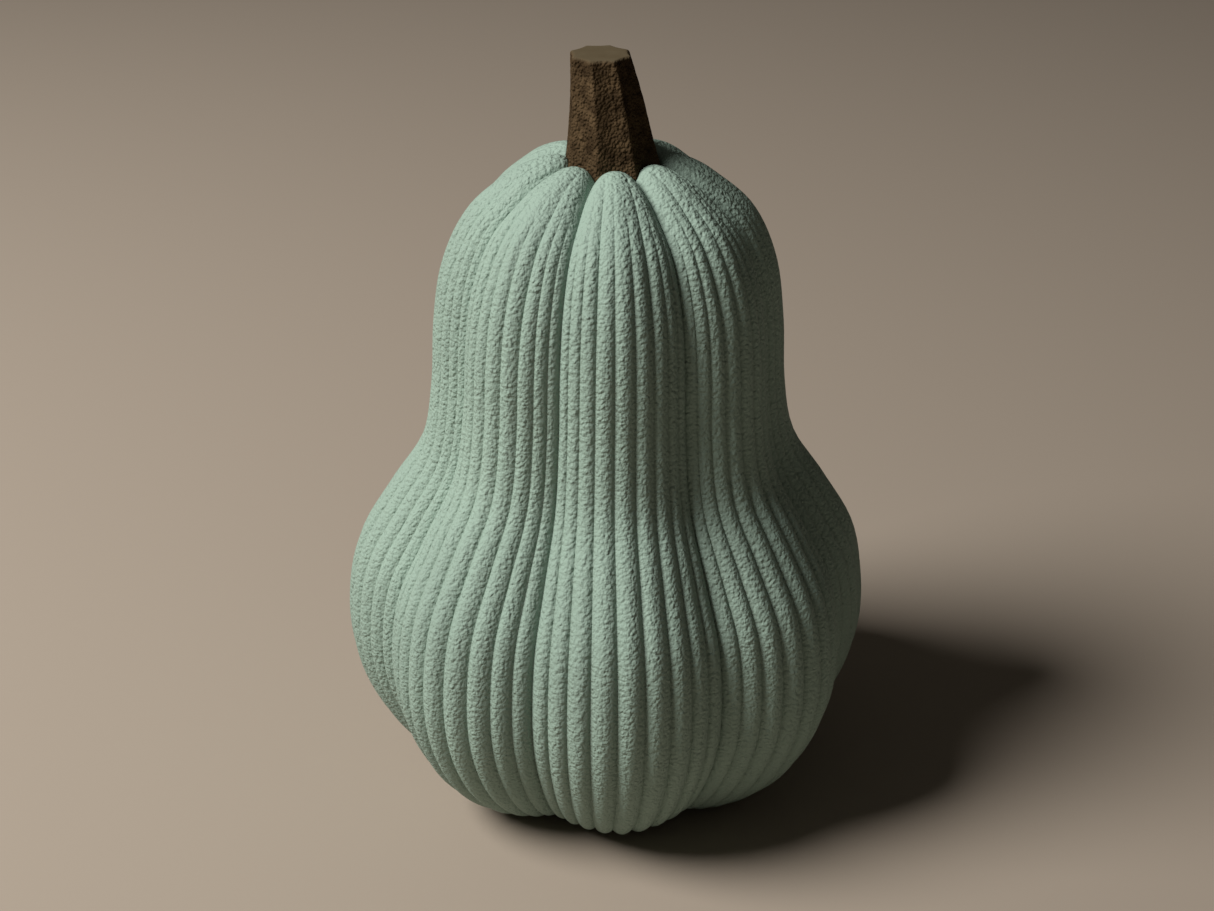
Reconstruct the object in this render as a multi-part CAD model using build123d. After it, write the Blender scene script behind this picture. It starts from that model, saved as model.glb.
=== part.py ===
from build123d import *
from math import cos, pi, radians, sin
import os

# A ceramic gourd-shaped pumpkin figure: a slip-cast lobed shell with a fluted stem
# pegged and bedded in its crown, a plug in its casting hole and four pads under its
# lobes. Millimetres, +Z up. The origin is on the table, under the middle of the body,
# and the middle of one lobe faces -Y.

# Driving dimensions of the body
LOBES = 8
LOBE_ANGLE = 360 / LOBES
WALL = 4.5                # thickness of the cast wall
PAD_THICKNESS = 1.6       # the body stands this far above the table

# Crest line of a lobe, (radius, height), from the crown recess down to the foot recess
CREST = (
    (8.5, 189), (9.5, 194), (12, 197.6), (16, 199), (22.5, 197.3), (29.3, 193.5),
    (41.2, 183), (48.4, 167.6), (51.3, 150), (52.5, 130), (56, 111.3), (65.9, 95.9),
    (76.3, 77.8), (79.9, 58), (78.6, 40.1), (72, 22.8), (62.3, 10), (50, 1), (41, 1.2),
    (30, 5.2), (18, 8),
)
# Inner face of the wall under the same crest line
CAVITY = (
    (14, 184), (27, 183.5), (37.5, 176.5), (43.8, 164), (46.7, 149.5), (47.9, 129.5),
    (51.7, 109.6), (61.9, 93.4), (71.9, 76), (75.3, 58), (74.1, 41.2), (67.7, 25.2),
    (58.5, 13.6), (46, 8.4), (24, 13),
)
CROWN_FADE = 0.05         # share of the crest line over which the lobes rise at the crown
FOOT_FADE = 0.1           # and over which they die away in the foot recess

# How far the valleys lie below the crests. Each stage gives the shares of the crest line
# between which the depth changes, and its new value: neck, bulb, foot.
CROWN_DEPTH = 4.2
DEPTHS = ((0.08, 0.33, 5.4), (0.36, 0.56, 7.6), (0.74, 0.92, 3.8))
# Exponent of a lobe's cross-section, in the same way: blunt tips, round neck, and tighter
# valleys in the bulb
CROWN_ROUND = 2.7
ROUNDS = ((0.0, 0.22, 2.0), (0.35, 0.6, 1.7))

# Stem and what holds it
STEM_FLOOR = 188.0        # bottom of the pocket in the crown
BED = 0.4                 # thickness of the adhesive bed
STEM_TOP = 228.0
POCKET_GAP = 0.25         # clearance round the stem in its pocket
DOWEL_RADIUS = 4.0
DOWEL_DEPTH = 9.0         # how far the dowel runs down from the pocket floor
DOWEL_RISE = 12.0         # and up into the stem
DOWEL_X = 1.5             # the stem's foot stands a little off the axis

# Cross-sections of the stem: (height, arris radius, sideways place of the centre)
STEM_SECTIONS = (
    (STEM_FLOOR + BED, 15.8, DOWEL_X), (195.0, 14.7, 0.9), (205.0, 12.7, -0.1),
    (216.0, 10.9, -1.2), (STEM_TOP, 9.0, -3.0),
)
FLUTE = 0.87              # middle of a concave side, as a share of the arris radius
STEM_RIM = 0.8            # rounding round the cut top

# Casting hole, plug and pads
VENT_RADIUS = 6.0
FOOT_CAP = 8.0            # underside of the body at the casting hole
PLUG_FLANGE = (9.0, 1.6)  # radius and thickness
PLUG_LIP = (6.7, 2.0)     # radius and height of the bead that holds the plug
PADS = 4
PAD_RADIUS = 4.5
PAD_CIRCLE = 45.0
CREST_LIMIT = 90.0        # wider than the body

ROWS = 140                # points down a lobe
COLUMNS = 9               # points across it


def ease(x):
    """Smooth step from 0 to 1, level at both ends."""
    x = min(max(x, 0), 1)
    return x**3 * (10 - 15 * x + 6 * x * x)


def staged(t, value, stages):
    """A value that changes to each stage's own between the two shares it gives."""
    for start, end, then in stages:
        value += (then - value) * ease((t - start) / (end - start))
    return value


def lobe_dip(t, across):
    """Depth below the crest line at a share t along it and a place across the lobe, -1 to 1."""
    depth = staged(t, CROWN_DEPTH, DEPTHS)
    fade = ease(t / CROWN_FADE) * ease((1 - t) / FOOT_FADE)
    return depth * fade * abs(across) ** staged(t, CROWN_ROUND, ROUNDS)


def lobed_solid(crest_points):
    """A closed solid of equal lobes under a crest line, with flat ends round the axis."""
    crest = Spline(*[(r, z) for r, z in crest_points])
    grid = []
    for i in range(ROWS):
        t = i / (ROWS - 1)
        point = crest @ t
        along = crest % t
        inward = Vector(along.Y, -along.X)
        row = []
        for j in range(COLUMNS):
            across = 2 * j / (COLUMNS - 1) - 1
            dip = lobe_dip(t, across)
            r = point.X + inward.X * dip
            z = point.Y + inward.Y * dip
            angle = radians(across * LOBE_ANGLE / 2 - 90)
            row.append((r * cos(angle), r * sin(angle), z))
        grid.append(row)
    lobe = Face.make_surface_from_array_of_points(grid, tol=0.02, min_deg=3, max_deg=3)
    skin = [lobe.rotate(Axis.Z, LOBE_ANGLE * i) for i in range(LOBES)]
    ends = []
    for r, z in (crest_points[0], crest_points[-1]):
        rim = [e for f in skin for e in f.edges() if abs(e.center().Z - z) < 0.02]
        ends.append(Face(Wire(rim)))
    return Solid(Shell(skin + ends))


def stem_outline(z, radius, shift):
    """Eight concave sides between eight arrises, which stand over the valleys."""
    centre = Vector(shift, 0, z)
    sides = []
    for i in range(LOBES):
        start, middle, end = (
            centre + Vector(reach, 0).rotate(Axis.Z, LOBE_ANGLE * (i + step) - 90)
            for reach, step in ((radius, 0.5), (FLUTE * radius, 1), (radius, 1.5))
        )
        sides.append(ThreePointArc(start, middle, end))
    return Face(Wire(sides))


def stem_loft(grow, rise=0, drop=0):
    """The stem's outside, grown sideways for its pocket."""
    sections = []
    for i, (z, radius, shift) in enumerate(STEM_SECTIONS):
        if i == 0:
            z -= drop
        if i == len(STEM_SECTIONS) - 1:
            z += rise
        sections.append(stem_outline(z, radius + grow, shift))
    return Solid.make_loft([s.outer_wire() for s in sections])


def round_bar(radius, low, high, x=0, y=0):
    return Pos(x, y, low) * Cylinder(radius, high - low, align=(Align.CENTER, Align.CENTER, Align.MIN))


def make_body():
    """Cast shell: lobed outside and inside, ground feet, casting hole and stem pocket."""
    shell = lobed_solid(CREST) - lobed_solid(CAVITY)
    shell -= round_bar(CREST_LIMIT, -5, PAD_THICKNESS)
    shell -= round_bar(VENT_RADIUS, 0, FOOT_CAP + 3 * WALL)
    shell -= stem_loft(POCKET_GAP, rise=5, drop=BED)
    shell -= round_bar(DOWEL_RADIUS + BED, STEM_FLOOR - 4 * WALL, STEM_FLOOR + 1, DOWEL_X)
    return shell


def make_stem():
    """Fluted stem with a rounded cut top and a blind hole for the dowel."""
    stem = stem_loft(0)
    top = stem.faces().sort_by(Axis.Z)[-1]
    stem = fillet(top.edges(), STEM_RIM)
    bottom = STEM_FLOOR + BED
    return stem - round_bar(DOWEL_RADIUS, bottom - 1, bottom + DOWEL_RISE, DOWEL_X)


def make_dowel():
    """Plain hardwood pin with chamfered ends, half in the stem and half in the shell."""
    low, high = STEM_FLOOR - DOWEL_DEPTH, STEM_FLOOR + BED + DOWEL_RISE
    pin = round_bar(DOWEL_RADIUS, low, high, DOWEL_X)
    return chamfer(pin.edges(), 0.8)


def make_bed():
    """Cured adhesive: a disc under the stem and a sleeve round the dowel."""
    disc = stem_outline(STEM_FLOOR, STEM_SECTIONS[0][1] - BED, DOWEL_X)
    disc = extrude(disc, BED)
    sleeve = round_bar(DOWEL_RADIUS + BED, STEM_FLOOR - WALL, STEM_FLOOR, DOWEL_X)
    return disc + sleeve - round_bar(DOWEL_RADIUS, 0, STEM_TOP, DOWEL_X)


def make_plug():
    """Soft plug: a flange below the casting hole, a shank in it and a bead above it."""
    flange_radius, flange = PLUG_FLANGE
    lip_radius, lip = PLUG_LIP
    above = CAVITY[-1][1]
    plug = round_bar(flange_radius, FOOT_CAP - flange, FOOT_CAP)
    plug += round_bar(VENT_RADIUS, FOOT_CAP, above)
    plug += Pos(0, 0, above) * Cone(
        lip_radius, VENT_RADIUS - 1, lip, align=(Align.CENTER, Align.CENTER, Align.MIN)
    )
    return fillet(plug.edges().sort_by(Axis.Z)[0], flange / 2)


def make_pad(i):
    """Round felt pad under every second lobe."""
    angle = radians(360 / PADS * i - 90)
    x, y = PAD_CIRCLE * cos(angle), PAD_CIRCLE * sin(angle)
    return round_bar(PAD_RADIUS, 0, PAD_THICKNESS, x, y)


os.makedirs("parts", exist_ok=True)
nodes = {
    "body_shell": make_body(),
    "stem": make_stem(),
    "stem_dowel": make_dowel(),
    "stem_adhesive": make_bed(),
    "base_plug": make_plug(),
}
for i in range(PADS):
    nodes[f"foot_pad_{i + 1}"] = make_pad(i)
for name, shape in nodes.items():
    export_step(shape, f"parts/{name}.step")
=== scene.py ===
"""Ceramic gourd pumpkin: ribbed glazed body, fluted stem, felt pads and a soft plug."""

from math import atan2, cos, floor, hypot, pi, radians, sin, tan

import bmesh
import bpy
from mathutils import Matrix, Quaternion, Vector, noise
from mathutils.geometry import interpolate_bezier


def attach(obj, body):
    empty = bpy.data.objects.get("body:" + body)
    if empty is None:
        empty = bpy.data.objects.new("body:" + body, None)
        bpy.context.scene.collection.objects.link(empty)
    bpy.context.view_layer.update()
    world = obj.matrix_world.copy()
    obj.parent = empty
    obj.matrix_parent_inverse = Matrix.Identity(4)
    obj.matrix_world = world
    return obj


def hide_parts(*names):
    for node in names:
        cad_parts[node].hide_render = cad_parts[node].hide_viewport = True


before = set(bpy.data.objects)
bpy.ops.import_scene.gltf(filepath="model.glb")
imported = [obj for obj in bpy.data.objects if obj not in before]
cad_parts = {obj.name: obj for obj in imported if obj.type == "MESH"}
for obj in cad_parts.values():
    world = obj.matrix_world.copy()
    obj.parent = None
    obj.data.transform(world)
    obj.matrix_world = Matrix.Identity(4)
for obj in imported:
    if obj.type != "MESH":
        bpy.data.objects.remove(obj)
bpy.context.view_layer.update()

MM = 0.001

# Body: equal lobes with the same ribs. Crest line of a lobe and the cavity under it, as
# (radius, height) in millimetres, from the crown recess down to the foot recess.
LOBES = 8
RIBS = 9                  # on each lobe
CREST = (
    (8.5, 189), (9.5, 194), (12, 197.6), (16, 199), (22.5, 197.3), (29.3, 193.5),
    (41.2, 183), (48.4, 167.6), (51.3, 150), (52.5, 130), (56, 111.3), (65.9, 95.9),
    (76.3, 77.8), (79.9, 58), (78.6, 40.1), (72, 22.8), (62.3, 10), (50, 1), (41, 1.2),
    (30, 5.2), (18, 8),
)
CAVITY = (
    (14, 184), (27, 183.5), (37.5, 176.5), (43.8, 164), (46.7, 149.5), (47.9, 129.5),
    (51.7, 109.6), (61.9, 93.4), (71.9, 76), (75.3, 58), (74.1, 41.2), (67.7, 25.2),
    (58.5, 13.6), (46, 8.4), (24, 13),
)
CROWN_FADE = 0.05         # shares of the crest line over which the lobes rise and die away
FOOT_FADE = 0.1
# How far the valleys lie below the crests, and the exponent of a lobe's cross-section. Each
# stage gives the shares of the crest line between which they change, and the new value.
CROWN_DEPTH = 4.2
DEPTHS = ((0.08, 0.33, 5.4), (0.36, 0.56, 7.6), (0.74, 0.92, 3.8))
CROWN_ROUND = 2.7
ROUNDS = ((0.0, 0.22, 2.0), (0.35, 0.6, 1.7))
SPREAD_NECK, SPREAD_BULB = 0.30, 0.17    # ribs are wider on the crests than in the valleys
NECK_TO_BULB = (0.35, 0.6)               # shares between which the neck becomes the bulb
VENT_RADIUS = 6.0         # casting hole in the foot
FOOT_CAP = 8.0            # underside of the body at the casting hole
DOWEL_HOLE = 4.4          # radius of the dowel's hole in the crown
DOWEL_X = 1.5             # the stem's foot stands a little off the axis
POCKET_FLOOR = 188.0      # bottom of the stem's pocket

# Ribs: their height as a share of their width, the exponents of their cross-section, and
# the run of the crest line, in millimetres, over which they rise and die away
RIB_RELIEF_NECK, RIB_RELIEF_BULB = 0.19, 0.235
RIB_ROUND, RIB_PLUMP = 2.0, 0.90
RIB_TOP, RIB_TOP_FADE = 9, 54
RIB_END, RIB_END_FADE = 272, 25
# Round the crown each lobe has a few broad ribs, which give way to the fine ones
BROAD_RIBS, BROAD_RELIEF = 3, 0.08
BROAD_TOP, BROAD_TOP_FADE = 7, 14
BROAD_END, BROAD_END_FADE = 92, 58

FINE = 40                 # points from which a stretch of a smooth line is measured
RIB_SEGMENTS = 10         # faces across one rib
SKIN_ROWS = 108           # faces down the outside, closer together at both ends
ROW_CROWDING = 0.6
CAVITY_ROWS = 18
SEAM_EDGE = 0.99          # this far from a rib's middle, a point lies in a groove's bottom
SHARP_FROM = 0.1          # a groove's bottom is shaded sharp where its ribs are this strong
GRAIN_STEP = 0.37         # how fast the grain's size changes from one rib to the next

# Stem: height, arris radius and sideways place of the centre, in millimetres
STEM = (
    (188.4, 15.8, 1.5), (195, 14.7, 0.9), (205, 12.7, -0.1), (216, 10.9, -1.2), (228, 9.0, -3.0),
)
FLUTE = 0.87              # middle of a concave side, as a share of the arris radius
ARRIS_WEAR = 0.018        # how far the arrises are worn down, in the same way
ARRIS_EDGE = 0.8          # where the wear begins, from 0 at a side's middle to 1 at its arris
STEM_RIM = 0.8            # rounding round the cut top
STEM_GAP = 0.15           # the body stays this far clear of the stem
STEM_REACH = 22           # and can meet it only over this run of the crest line
DOWEL_RADIUS = 4
DOWEL_RISE = 12
KNOB_HEIGHT = 0.07        # knobs in the bark, and how closely they follow each other
KNOB_SCALE, FINE_KNOB_SCALE = 0.62, 1.25
STEM_STEPS = 60           # steps of the line that the stem's sections are read from
STEM_COLUMNS = 192
STEM_ROWS = 120
RIM_ROWS = 4
TOP_ROWS = 14


def ease(x):
    """Smooth step from 0 to 1, level at both ends."""
    x = min(max(x, 0.0), 1.0)
    return x**3 * (10 - 15 * x + 6 * x * x)


def mix(a, b, share):
    """The value a share of the way from a to b."""
    return a + (b - a) * share


def crowded(t, crowding):
    """A share from 0 to 1 whose even steps come out closer together at both ends."""
    return t - crowding * sin(2 * pi * t) / (2 * pi)


def smooth_line(points, count, crowding=0.0):
    """Points on a smooth line through the given ones, in count steps."""
    knots = [Vector(p) for p in points]
    ahead = [
        (knots[min(i + 1, len(knots) - 1)] - knots[max(i - 1, 0)]) for i in range(len(knots))
    ]
    dense = []
    for i in range(len(knots) - 1):
        span = (knots[i + 1] - knots[i]).length
        a = ahead[i].normalized() * span / 3
        b = ahead[i + 1].normalized() * span / 3
        stretch = interpolate_bezier(knots[i], knots[i] + a, knots[i + 1] - b, knots[i + 1], FINE)
        dense += stretch[:-1]
    dense.append(knots[-1])
    lengths = [0.0]
    for i in range(1, len(dense)):
        lengths.append(lengths[-1] + (dense[i] - dense[i - 1]).length)
    line = []
    j = 0
    for i in range(count + 1):
        goal = lengths[-1] * crowded(i / count, crowding)
        while j < len(dense) - 2 and lengths[j + 1] < goal:
            j += 1
        share = (goal - lengths[j]) / (lengths[j + 1] - lengths[j])
        line.append(dense[j].lerp(dense[j + 1], share))
    return line


def inward_normals(line):
    """Unit normals on the right-hand side of a line from crown to foot: into the body."""
    normals = []
    for i in range(len(line)):
        along = (line[min(i + 1, len(line) - 1)] - line[max(i - 1, 0)]).normalized()
        normals.append(Vector((along.y, -along.x)))
    return normals


stem_line = smooth_line(STEM, STEM_STEPS)


def stem_section(z):
    """Arris radius and centre of the stem at a height, both in millimetres."""
    for low, high in zip(stem_line, stem_line[1:]):
        if z <= high.x:
            share = min(max((z - low.x) / (high.x - low.x), 0.0), 1.0)
            return mix(low.y, high.y, share), mix(low.z, high.z, share)
    return stem_line[-1].y, stem_line[-1].z


def flute_reach(angle):
    """Reach of the stem's outline at an angle round its centre, for an arris radius of 1."""
    step = 2 * pi / LOBES
    off = (angle + pi / 2 + step / 2) % step - step / 2
    hollow = cos(step / 2) - FLUTE
    side = (FLUTE + hollow * (tan(off) / tan(step / 2)) ** 2) / cos(off)
    edge = (abs(off) / (step / 2) - ARRIS_EDGE) / (1 - ARRIS_EDGE)
    return side - ARRIS_WEAR * ease(edge) ** 2


def grid_tube(name, columns, rows, place, attributes=(), crease=None):
    """A tube of columns round by rows along, each point set by place(turn, row).

    Edges along which the crease attribute stays high are shaded sharp.
    """
    bm = bmesh.new()
    bmesh.ops.create_grid(bm, x_segments=columns, y_segments=rows, size=0.5)
    layers = [bm.verts.layers.float.new(a) for a in attributes]
    for v in bm.verts:
        turn = v.co.x + 0.5
        row = round((v.co.y + 0.5) * rows)
        values = place(turn, row)
        v.co = values[0]
        for layer, value in zip(layers, values[1:]):
            v[layer] = value
    bmesh.ops.remove_doubles(bm, verts=bm.verts, dist=1e-7)
    bmesh.ops.recalc_face_normals(bm, faces=bm.faces)
    for f in bm.faces:
        f.smooth = True
    if crease:
        layer = bm.verts.layers.float[crease]
        for e in bm.edges:
            a, b = e.verts
            e.smooth = not (a[layer] > SHARP_FROM and b[layer] > SHARP_FROM)
    mesh = bpy.data.meshes.new(name)
    bm.to_mesh(mesh)
    bm.free()
    piece = bpy.data.objects.new(name, mesh)
    bpy.context.scene.collection.objects.link(piece)
    return piece


def neck_to_bulb(t):
    """How far a share of the crest line is from the neck, 0, to the bulb, 1."""
    start, end = NECK_TO_BULB
    return ease((t - start) / (end - start))


def staged(t, value, stages):
    """A value that changes to each stage's own between the two shares it gives."""
    for start, end, then in stages:
        value += (then - value) * ease((t - start) / (end - start))
    return value


def lobe_dip(t, across):
    """Depth below the crest line at a share t along it and a place across the lobe."""
    depth = staged(t, CROWN_DEPTH, DEPTHS)
    fade = ease(t / CROWN_FADE) * ease((1 - t) / FOOT_FADE)
    return depth * fade * abs(across) ** staged(t, CROWN_ROUND, ROUNDS)


def body_rows():
    """Rows of the body's closed section: point, inward normal, share of the line, run."""
    skin = smooth_line(CREST, SKIN_ROWS, ROW_CROWDING)
    length = sum((b - a).length for a, b in zip(skin, skin[1:]))
    rows = []
    for i, (p, n) in enumerate(zip(skin, inward_normals(skin))):
        t = crowded(i / SKIN_ROWS, ROW_CROWDING)
        rows.append((p, n, t, length * t))
    flat = Vector((0, 0))
    for p in ((VENT_RADIUS, CREST[-1][1]), (VENT_RADIUS, CAVITY[-1][1])):
        rows.append((Vector(p), flat, 1.0, length))
    cavity = smooth_line(CAVITY, CAVITY_ROWS)
    inner = list(enumerate(zip(cavity, inward_normals(cavity))))
    for i, (p, n) in reversed(inner):
        rows.append((p, n, i / CAVITY_ROWS, length))
    for p in ((DOWEL_HOLE, CAVITY[0][1]), (DOWEL_HOLE, POCKET_FLOOR), (CREST[0][0], POCKET_FLOOR)):
        rows.append((Vector(p), flat, 0.0, 0.0))
    rows.append(rows[0])
    return rows


def clear_of_stem(x, y, z):
    """The point, moved out to the stem's side if it lies within it."""
    radius, shift = stem_section(z)
    angle = atan2(y, x - shift)
    reach = radius * flute_reach(angle) + STEM_GAP
    if hypot(x - shift, y) >= reach:
        return x, y
    return shift + reach * cos(angle), reach * sin(angle)


def make_body():
    """Hollow body: lobes with rounded ribs outside, smooth lobes in the cavity."""
    rows = body_rows()
    hole = SKIN_ROWS + CAVITY_ROWS + 4

    def place(turn, row):
        point, inward, t, run = rows[row]
        outside = 1.0 if row <= SKIN_ROWS or row == len(rows) - 1 else 0.0
        lobe = turn * LOBES
        v = 2 * (lobe - floor(lobe)) - 1
        spread = mix(SPREAD_NECK, SPREAD_BULB, neck_to_bulb(t))
        u = v + spread * sin(pi * v) / pi
        angle = (floor(lobe) + u / 2) * 2 * pi / LOBES - pi / 2
        rib = (v + 1) * RIBS / 2
        w = 2 * (rib - floor(rib)) - 1
        crest = (1 - abs(w) ** RIB_ROUND) ** RIB_PLUMP
        width = 2 * pi * point.x / (LOBES * RIBS) * (1 + spread * cos(pi * v))
        fade = ease((run - RIB_TOP) / RIB_TOP_FADE) * ease((RIB_END - run) / RIB_END_FADE)
        fade *= outside
        dip = lobe_dip(t, u)
        relief = mix(RIB_RELIEF_NECK, RIB_RELIEF_BULB, neck_to_bulb(t))
        down = dip + relief * width * fade * (1 - crest)
        broad = (v + 1) * BROAD_RIBS / 2
        b = 2 * (broad - floor(broad)) - 1
        early = ease((run - BROAD_TOP) / BROAD_TOP_FADE) * ease((BROAD_END - run) / BROAD_END_FADE)
        down += BROAD_RELIEF * width * RIBS / BROAD_RIBS * early * outside * b * b
        r = point.x + inward.x * down
        z = point.y + inward.y * down
        x, y = r * cos(angle), r * sin(angle)
        if outside and run < STEM_REACH and z > POCKET_FLOOR:
            x, y = clear_of_stem(x, y, z)
        if hole < row < len(rows) - 1:
            x += DOWEL_X
        number = (floor(lobe) % LOBES) * RIBS + min(floor(rib), RIBS - 1)
        coarse = 0.5 + 0.5 * noise.noise(Vector((number * GRAIN_STEP, 5.1, 0)))
        seam = fade if abs(w) > SEAM_EDGE else 0.0
        # The second value, the groove's depth, sets how much painted shade the glaze puts in the
        # grooves
        return Vector((x, y, z)) * MM, fade * (1 - crest), seam, coarse

    return grid_tube("pumpkin_body", LOBES * RIBS * RIB_SEGMENTS, len(rows) - 1, place,
                     ("groove", "seam", "coarse"), "seam")


def make_stem():
    """Fluted stem: knobbly bark on the sides, a worn rim and a smooth cut top."""
    bottom, top = STEM[0][0], STEM[-1][0]
    hole = DOWEL_RADIUS / STEM[0][1]
    hole_top = bottom + DOWEL_RISE
    rim = STEM_RIM / STEM[-1][1]
    # share of the full reach, height, and how much bark there is
    path = [(0, hole_top, 0), (hole, hole_top, 0), (hole, bottom, 0)]
    blind = len(path)
    for i in range(STEM_ROWS + 1):
        path.append((1, mix(bottom, top - STEM_RIM, i / STEM_ROWS), 1))
    for i in range(1, RIM_ROWS + 1):
        a = i / RIM_ROWS * pi / 2
        z = top - STEM_RIM + STEM_RIM * sin(a)
        path.append((1 - rim * (1 - cos(a)), z, 1 - i / RIM_ROWS))
    for i in range(1, TOP_ROWS + 1):
        path.append(((1 - rim) * (1 - i / TOP_ROWS), top, 0))

    def place(turn, row):
        share, z, side = path[row]
        angle = turn * 2 * pi
        radius, shift = stem_section(z)
        reach = share * radius * (1 if row < blind else flute_reach(angle))
        x, y = shift + reach * cos(angle), reach * sin(angle)
        at = Vector((x, y, z))
        knobs = noise.noise(at * KNOB_SCALE) + 0.5 * noise.noise(at * FINE_KNOB_SCALE)
        bark = KNOB_HEIGHT * knobs * side * ease((z - bottom) / 3)
        x += bark * cos(angle)
        y += bark * sin(angle)
        return Vector((x, y, z)) * MM, side

    return grid_tube("pumpkin_stem", STEM_COLUMNS, len(path) - 1, place, ("bark",))


def make_disc(name, centre, profile, columns=72):
    """A turned piece round a vertical axis, from (radius, height) points in millimetres."""
    def place(turn, row):
        radius, z = profile[row]
        a = turn * 2 * pi
        return (Vector((centre[0] + radius * cos(a), centre[1] + radius * sin(a), z)) * MM,)

    return grid_tube(name, columns, len(profile) - 1, place)


def rounded(radius, low, high, edge, steps=5):
    """Profile of a disc with rounded edges, from the middle of its underside to its top."""
    points = [(0, low), (radius * 0.5, low)]
    for i in range(steps + 1):
        a = pi / 2 * i / steps
        points.append((radius - edge * (1 - sin(a)), low + edge * (1 - cos(a))))
    for i in range(steps + 1):
        a = pi / 2 * i / steps
        points.append((radius - edge * (1 - cos(a)), high - edge * (1 - sin(a))))
    return points + [(radius * 0.5, high), (0, high)]


# Materials
class Finish:
    """A material under construction."""

    def __init__(self, name, roughness, sheen=0.5):
        self.material = bpy.data.materials.new(name)
        self.material.use_nodes = True
        self.nodes = self.material.node_tree.nodes
        self.links = self.material.node_tree.links
        self.shader = self.nodes["Principled BSDF"]
        self.shader.inputs["Roughness"].default_value = roughness
        self.shader.inputs["Specular IOR Level"].default_value = sheen
        self.coords = self.nodes.new("ShaderNodeTexCoord").outputs["Object"]

    def noise(self, scale, detail, stretch=None):
        """Cloudy noise, about 1 / scale across."""
        node = self.nodes.new("ShaderNodeTexNoise")
        node.inputs["Scale"].default_value = scale
        node.inputs["Detail"].default_value = detail
        source = self.coords
        if stretch:
            mapping = self.nodes.new("ShaderNodeMapping")
            mapping.inputs["Scale"].default_value = stretch
            self.links.new(source, mapping.inputs["Vector"])
            source = mapping.outputs["Vector"]
        self.links.new(source, node.inputs["Vector"])
        return node.outputs["Fac"]

    def attribute(self, name):
        node = self.nodes.new("ShaderNodeAttribute")
        node.attribute_name = name
        return node.outputs["Fac"]

    def pebbles(self, scale):
        """Distance from the middles of scattered pebbles, each about 1 / scale across."""
        node = self.nodes.new("ShaderNodeTexVoronoi")
        node.feature = "SMOOTH_F1"
        node.inputs["Scale"].default_value = scale
        node.inputs["Smoothness"].default_value = 0.35
        self.links.new(self.coords, node.inputs["Vector"])
        return node.outputs["Distance"]

    def ramp(self, fac, dark, light, low=0.35, high=0.65):
        """Colour going from dark to light as fac goes from low to high."""
        node = self.nodes.new("ShaderNodeValToRGB")
        first, last = node.color_ramp.elements
        first.position, first.color = low, (*dark, 1)
        last.position, last.color = high, (*light, 1)
        self.links.new(fac, node.inputs["Fac"])
        return node.outputs["Color"]

    def blend(self, fac, a, b):
        """Colour a turning into b as fac goes from 0 to 1."""
        node = self.nodes.new("ShaderNodeMix")
        node.data_type = "RGBA"
        self.links.new(fac, node.inputs[0])
        self.links.new(a, node.inputs[6])
        self.links.new(b, node.inputs[7])
        return node.outputs[2]

    def span(self, fac, low, high):
        """fac from 0.3 to 0.7 taken to low to high."""
        node = self.nodes.new("ShaderNodeMapRange")
        node.inputs["From Min"].default_value = 0.3
        node.inputs["From Max"].default_value = 0.7
        node.inputs["To Min"].default_value = low
        node.inputs["To Max"].default_value = high
        self.links.new(fac, node.inputs["Value"])
        return node.outputs["Result"]

    def bump(self, height, distance, below=None, sunk=False):
        """Fine relief, on top of another one if below is given."""
        node = self.nodes.new("ShaderNodeBump")
        node.invert = sunk
        node.inputs["Distance"].default_value = distance
        self.links.new(height, node.inputs["Height"])
        if below:
            self.links.new(below, node.inputs["Normal"])
        return node.outputs["Normal"]

    def colour(self, source):
        self.links.new(source, self.shader.inputs["Base Color"])

    def rough(self, source):
        self.links.new(source, self.shader.inputs["Roughness"])

    def relief(self, source):
        self.links.new(source, self.shader.inputs["Normal"])


def glaze():
    """Matt sage glaze: uneven tone, painted shade darkening the grooves, with a wrinkled grain."""
    f = Finish("sage_glaze", 0.7, 0.2)
    tone = f.ramp(f.noise(16, 3), (0.250, 0.340, 0.287), (0.288, 0.392, 0.330))
    # Painted shade: a darker copy of the glaze, blended in up to a fifth where the grooves run
    # deep
    groove_shade = f.ramp(f.noise(40, 2), (0.17, 0.22, 0.175), (0.20, 0.26, 0.21))
    share = f.span(f.attribute("groove"), -0.2, 0.2)
    f.colour(f.blend(share, tone, groove_shade))
    f.rough(f.span(f.noise(90, 3), 0.62, 0.78))
    wrinkles = f.nodes.new("ShaderNodeMix")
    f.links.new(f.attribute("coarse"), wrinkles.inputs[0])
    f.links.new(f.pebbles(980), wrinkles.inputs[2])
    f.links.new(f.pebbles(720), wrinkles.inputs[3])
    soft = f.bump(wrinkles.outputs[0], 0.00054, sunk=True)
    f.relief(f.bump(f.noise(1000, 1), 0.00045, soft))
    return f.material


def bark():
    """Dark stained bark with small knobs, and an olive cut top that the bark stops short of."""
    f = Finish("stem_bark", 0.8, 0.03)
    stained = f.ramp(f.noise(260, 4), (0.026, 0.016, 0.008), (0.098, 0.065, 0.034), 0.3, 0.7)
    cut = f.ramp(f.noise(150, 3), (0.088, 0.068, 0.040), (0.100, 0.079, 0.048))
    f.colour(f.blend(f.attribute("bark"), cut, stained))
    f.rough(f.span(f.noise(300, 3), 0.7, 0.9))
    knobs = f.nodes.new("ShaderNodeMath")
    knobs.operation = "MULTIPLY"
    f.links.new(f.pebbles(1200), knobs.inputs[0])
    f.links.new(f.attribute("bark"), knobs.inputs[1])
    soft = f.bump(knobs.outputs[0], 0.00055, sunk=True)
    grain = f.nodes.new("ShaderNodeMath")
    grain.operation = "MULTIPLY"
    f.links.new(f.noise(900, 1), grain.inputs[0])
    f.links.new(f.attribute("bark"), grain.inputs[1])
    f.relief(f.bump(grain.outputs[0], 0.0006, soft))
    return f.material


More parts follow.
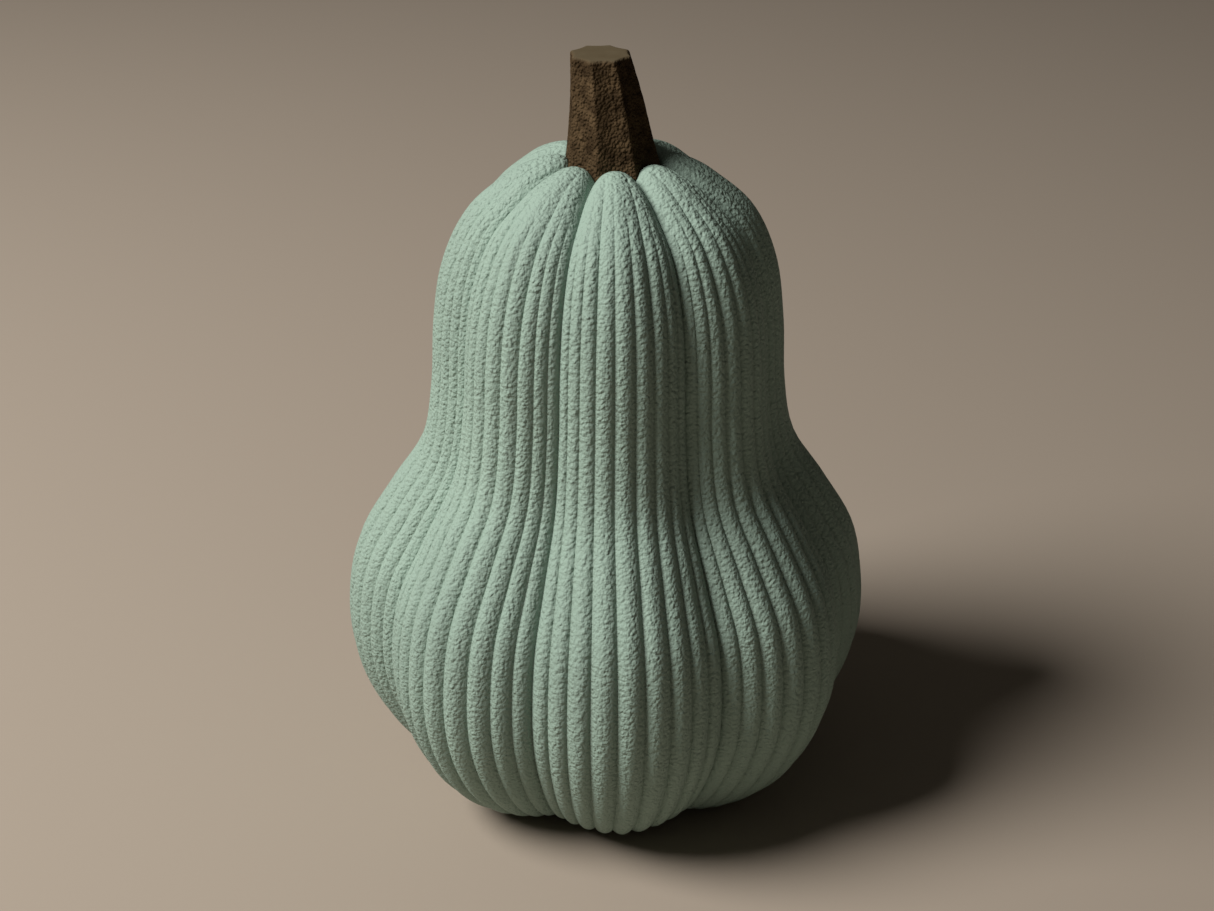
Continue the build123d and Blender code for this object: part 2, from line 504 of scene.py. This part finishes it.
def plain(name, dark, light, scale, grain, height, rough, stretch=None):
    """A finish with mottled colour, uneven roughness and a fine grain."""
    f = Finish(name, rough)
    f.colour(f.ramp(f.noise(scale, 4, stretch=stretch), dark, light))
    f.rough(f.span(f.noise(scale * 0.7, 2), rough - 0.08, rough + 0.08))
    f.relief(f.bump(f.noise(grain, 3, stretch=stretch), height))
    return f.material


def finish_piece(piece, material, slot, *nodes):
    """Give a piece its material, hang it from the root, and hide the CAD nodes it stands in for.
    """
    piece.data.materials.append(material)
    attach(piece, "root")
    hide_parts(*nodes)


finish_piece(make_body(), glaze(), "glazed_body", "body_shell")
finish_piece(make_stem(), bark(), "stem_bark", "stem")

PADS = 4
PAD_RADIUS = 4.5
PAD_CIRCLE = 45.0
PAD_THICKNESS = 1.6
felt = plain("wool_felt", (0.05, 0.036, 0.025), (0.10, 0.075, 0.055), 900, 3200, 0.0003, 0.9)
for i in range(PADS):
    a = 2 * pi * i / PADS - pi / 2
    centre = (PAD_CIRCLE * cos(a), PAD_CIRCLE * sin(a))
    pad = make_disc(f"felt_pad_{i + 1}", centre, rounded(PAD_RADIUS, 0, PAD_THICKNESS, 0.4))
    finish_piece(pad, felt, "pad_felt", f"foot_pad_{i + 1}")

PLUG_FLANGE = (9.0, 1.6)  # radius and thickness
PLUG_LIP = (6.7, 2.0)     # radius and height of the bead inside the body


def make_plug():
    """Soft plug: a rounded flange, a shank in the casting hole and a bead above it."""
    above = CAVITY[-1][1]
    radius, thickness = PLUG_FLANGE
    lip, lip_height = PLUG_LIP
    flange = rounded(radius, FOOT_CAP - thickness, FOOT_CAP, 0.5)[:-2]
    shank = [(VENT_RADIUS, FOOT_CAP), (VENT_RADIUS, above)]
    bead = [(lip, above), (lip - 0.2, above + 0.6), (VENT_RADIUS - 1, above + lip_height)]
    return make_disc("vent_plug", (0, 0), flange + shank + bead + [(0, above + lip_height)])


rubber = plain("plug_rubber", (0.50, 0.50, 0.47), (0.60, 0.60, 0.56), 220, 1500, 0.00006, 0.5)
finish_piece(make_plug(), rubber, "plug_rubber", "base_plug")

birch = plain("birch", (0.50, 0.35, 0.20), (0.66, 0.50, 0.33), 500, 900, 0.0001, 0.6, (1, 1, 0.08))
epoxy = plain("cured_epoxy", (0.42, 0.33, 0.17), (0.56, 0.46, 0.27), 180, 700, 0.00008, 0.3)
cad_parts["stem_dowel"].material_slots[0].material = birch
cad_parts["stem_adhesive"].material_slots[0].material = epoxy


# Studio: plain pale floor, one soft key from the upper left, weak fill
TURN = 5.15               # the camera stands this far round from the front lobe, in degrees
PITCH = 26.93             # and looks down by this much
ROLL = 0.4
DISTANCE = 0.635
LENS = 62.3
AIM_SIDE, AIM_HEIGHT = -0.0004, 0.1036


def from_camera(right, towards, up):
    """A direction given as seen from the camera's side, turned into the model's frame."""
    a = radians(TURN)
    x = right * cos(a) - towards * sin(a)
    y = -right * sin(a) - towards * cos(a)
    return Vector((x, y, up))


def make_camera():
    """The view of the figure from above its front lobe."""
    data = bpy.data.cameras.new("camera")
    data.lens = LENS
    data.sensor_width = 36
    data.clip_start = 0.01
    camera = bpy.data.objects.new("camera", data)
    bpy.context.scene.collection.objects.link(camera)
    aim = Vector((0, 0, AIM_HEIGHT)) + from_camera(AIM_SIDE, 0, 0)
    p = radians(PITCH)
    camera.location = aim + from_camera(0, DISTANCE * cos(p), DISTANCE * sin(p))
    look = (aim - camera.location).to_track_quat("-Z", "Y")
    camera.rotation_euler = (look @ Quaternion((0, 0, 1), radians(ROLL))).to_euler()
    bpy.context.scene.camera = camera


def make_light(name, azimuth, elevation, distance, size, power, colour):
    """A soft disc of light, placed by its angle right of the camera and above the floor."""
    data = bpy.data.lights.new(name, "AREA")
    data.shape = "DISK"
    data.size = size
    data.energy = power
    data.color = colour
    light = bpy.data.objects.new(name, data)
    bpy.context.scene.collection.objects.link(light)
    a, e = radians(azimuth), radians(elevation)
    aim = Vector((0, 0, 0.1))
    light.location = aim + from_camera(sin(a) * cos(e), cos(a) * cos(e), sin(e)) * distance
    light.rotation_euler = (aim - light.location).to_track_quat("-Z", "Y").to_euler()


def make_floor():
    """A wide plain floor, which isn't part of the figure."""
    bm = bmesh.new()
    bmesh.ops.create_circle(bm, cap_ends=True, segments=96, radius=6)
    mesh = bpy.data.meshes.new("studio_floor")
    bm.to_mesh(mesh)
    bm.free()
    ground = bpy.data.objects.new("studio_floor", mesh)
    bpy.context.scene.collection.objects.link(ground)
    ground_material = bpy.data.materials.new("studio_floor")
    ground_material.use_nodes = True
    shader = ground_material.node_tree.nodes["Principled BSDF"]
    shader.inputs["Base Color"].default_value = (0.35, 0.295, 0.24, 1)
    shader.inputs["Roughness"].default_value = 0.9
    mesh.materials.append(ground_material)


make_camera()
make_light("key", -74, 46, 1.6, 0.85, 38, (1.0, 0.97, 0.93))
make_floor()
world = bpy.data.worlds.new("studio")
world.use_nodes = True
world.node_tree.nodes["Background"].inputs["Color"].default_value = (1.0, 0.92, 0.80, 1)
world.node_tree.nodes["Background"].inputs["Strength"].default_value = 0.043
bpy.context.scene.world = world
bpy.context.scene.view_settings.view_transform = "Standard"
